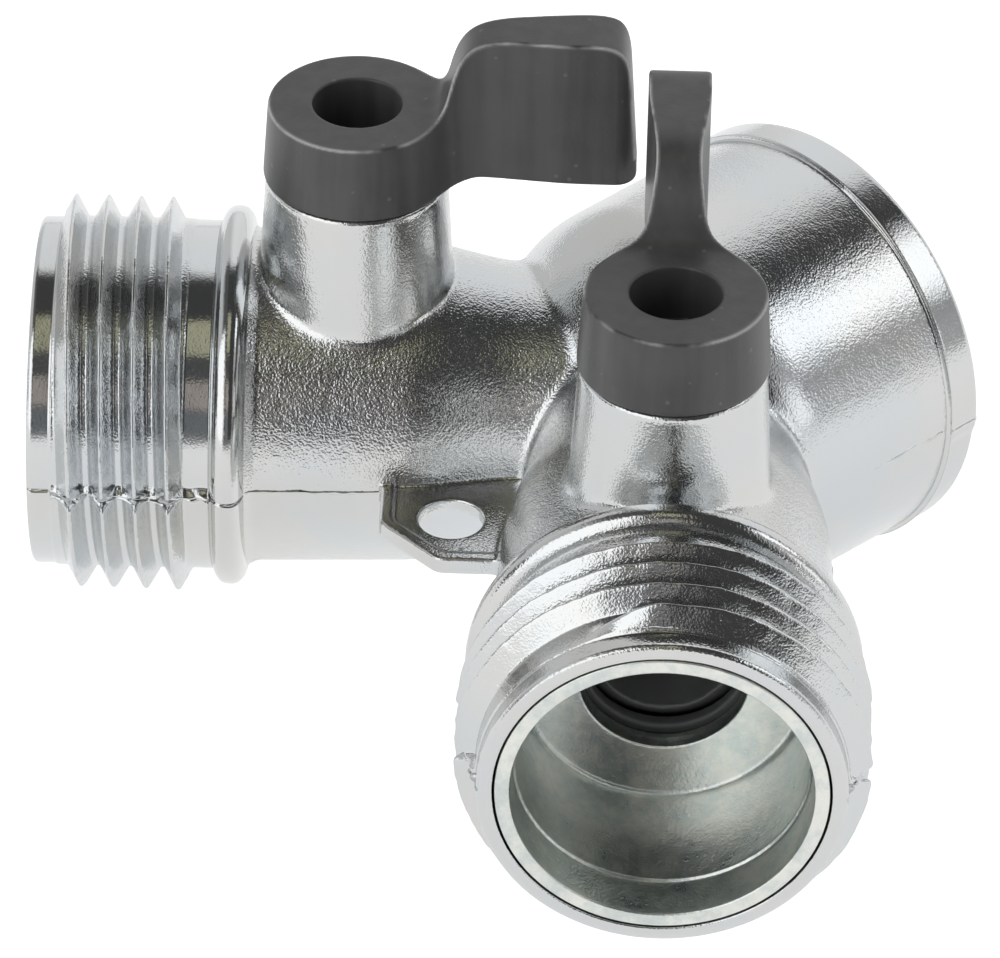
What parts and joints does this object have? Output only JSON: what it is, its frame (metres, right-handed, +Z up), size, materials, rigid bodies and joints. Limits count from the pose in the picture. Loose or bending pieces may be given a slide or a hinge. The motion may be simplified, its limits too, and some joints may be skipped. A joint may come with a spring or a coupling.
{
  "type": "hose splitter",
  "caption": "Y-shaped garden hose splitter with a female threaded inlet and male threaded outlets, each shut by its own quarter-turn lever ball valve.",
  "frame": {"origin": "on the surface that the splitter lies on, under the middle of its bounding box", "axes": "+Y along the inlet's axis and out of its mouth, +Z up along both valve stems, +X across; the outlet arms point 45 degrees to either side of -Y"},
  "size_m": [0.0772, 0.0536, 0.0453],
  "materials": {
    "plated_zinc": "bright zinc plating over a slightly grainy die casting",
    "dull_zinc": "dull satin metal",
    "lever_plastic": "satin moulded black plastic",
    "ball_plastic": "smooth black plastic",
    "seat_plastic": "smooth pale seat plastic",
    "stem_brass": "turned brass",
    "black_steel": "blackened steel",
    "rubber": "matte black rubber"
  },
  "bodies": {
    "splitter_body": {"body": "plated_zinc", "inlet_washer": "rubber", "left_outlet_sleeve": "dull_zinc", "left_seat_inner": "seat_plastic", "left_seat_outer": "seat_plastic", "right_outlet_sleeve": "dull_zinc", "right_seat_inner": "seat_plastic", "right_seat_outer": "seat_plastic"},
    "left_valve": {"left_handle": "lever_plastic", "left_handle_screw": "black_steel", "left_stem": "stem_brass", "left_stem_oring_lower": "rubber", "left_stem_oring_upper": "rubber", "left_ball": "ball_plastic"},
    "right_valve": {"right_handle": "lever_plastic", "right_handle_screw": "black_steel", "right_stem": "stem_brass", "right_stem_oring_lower": "rubber", "right_stem_oring_upper": "rubber", "right_ball": "ball_plastic"}
  },
  "joints": [
    {"name": "left_lever", "type": "hinge", "parent": "splitter_body", "child": "left_valve", "pos_m": [-0.01513, -0.00329, 0.01518], "axis": [0, 0, 1], "range_deg": [0, 90]},
    {"name": "right_lever", "type": "hinge", "parent": "splitter_body", "child": "right_valve", "pos_m": [0.01513, -0.00329, 0.01518], "axis": [0, 0, -1], "range_deg": [0, 90]}
  ]
}
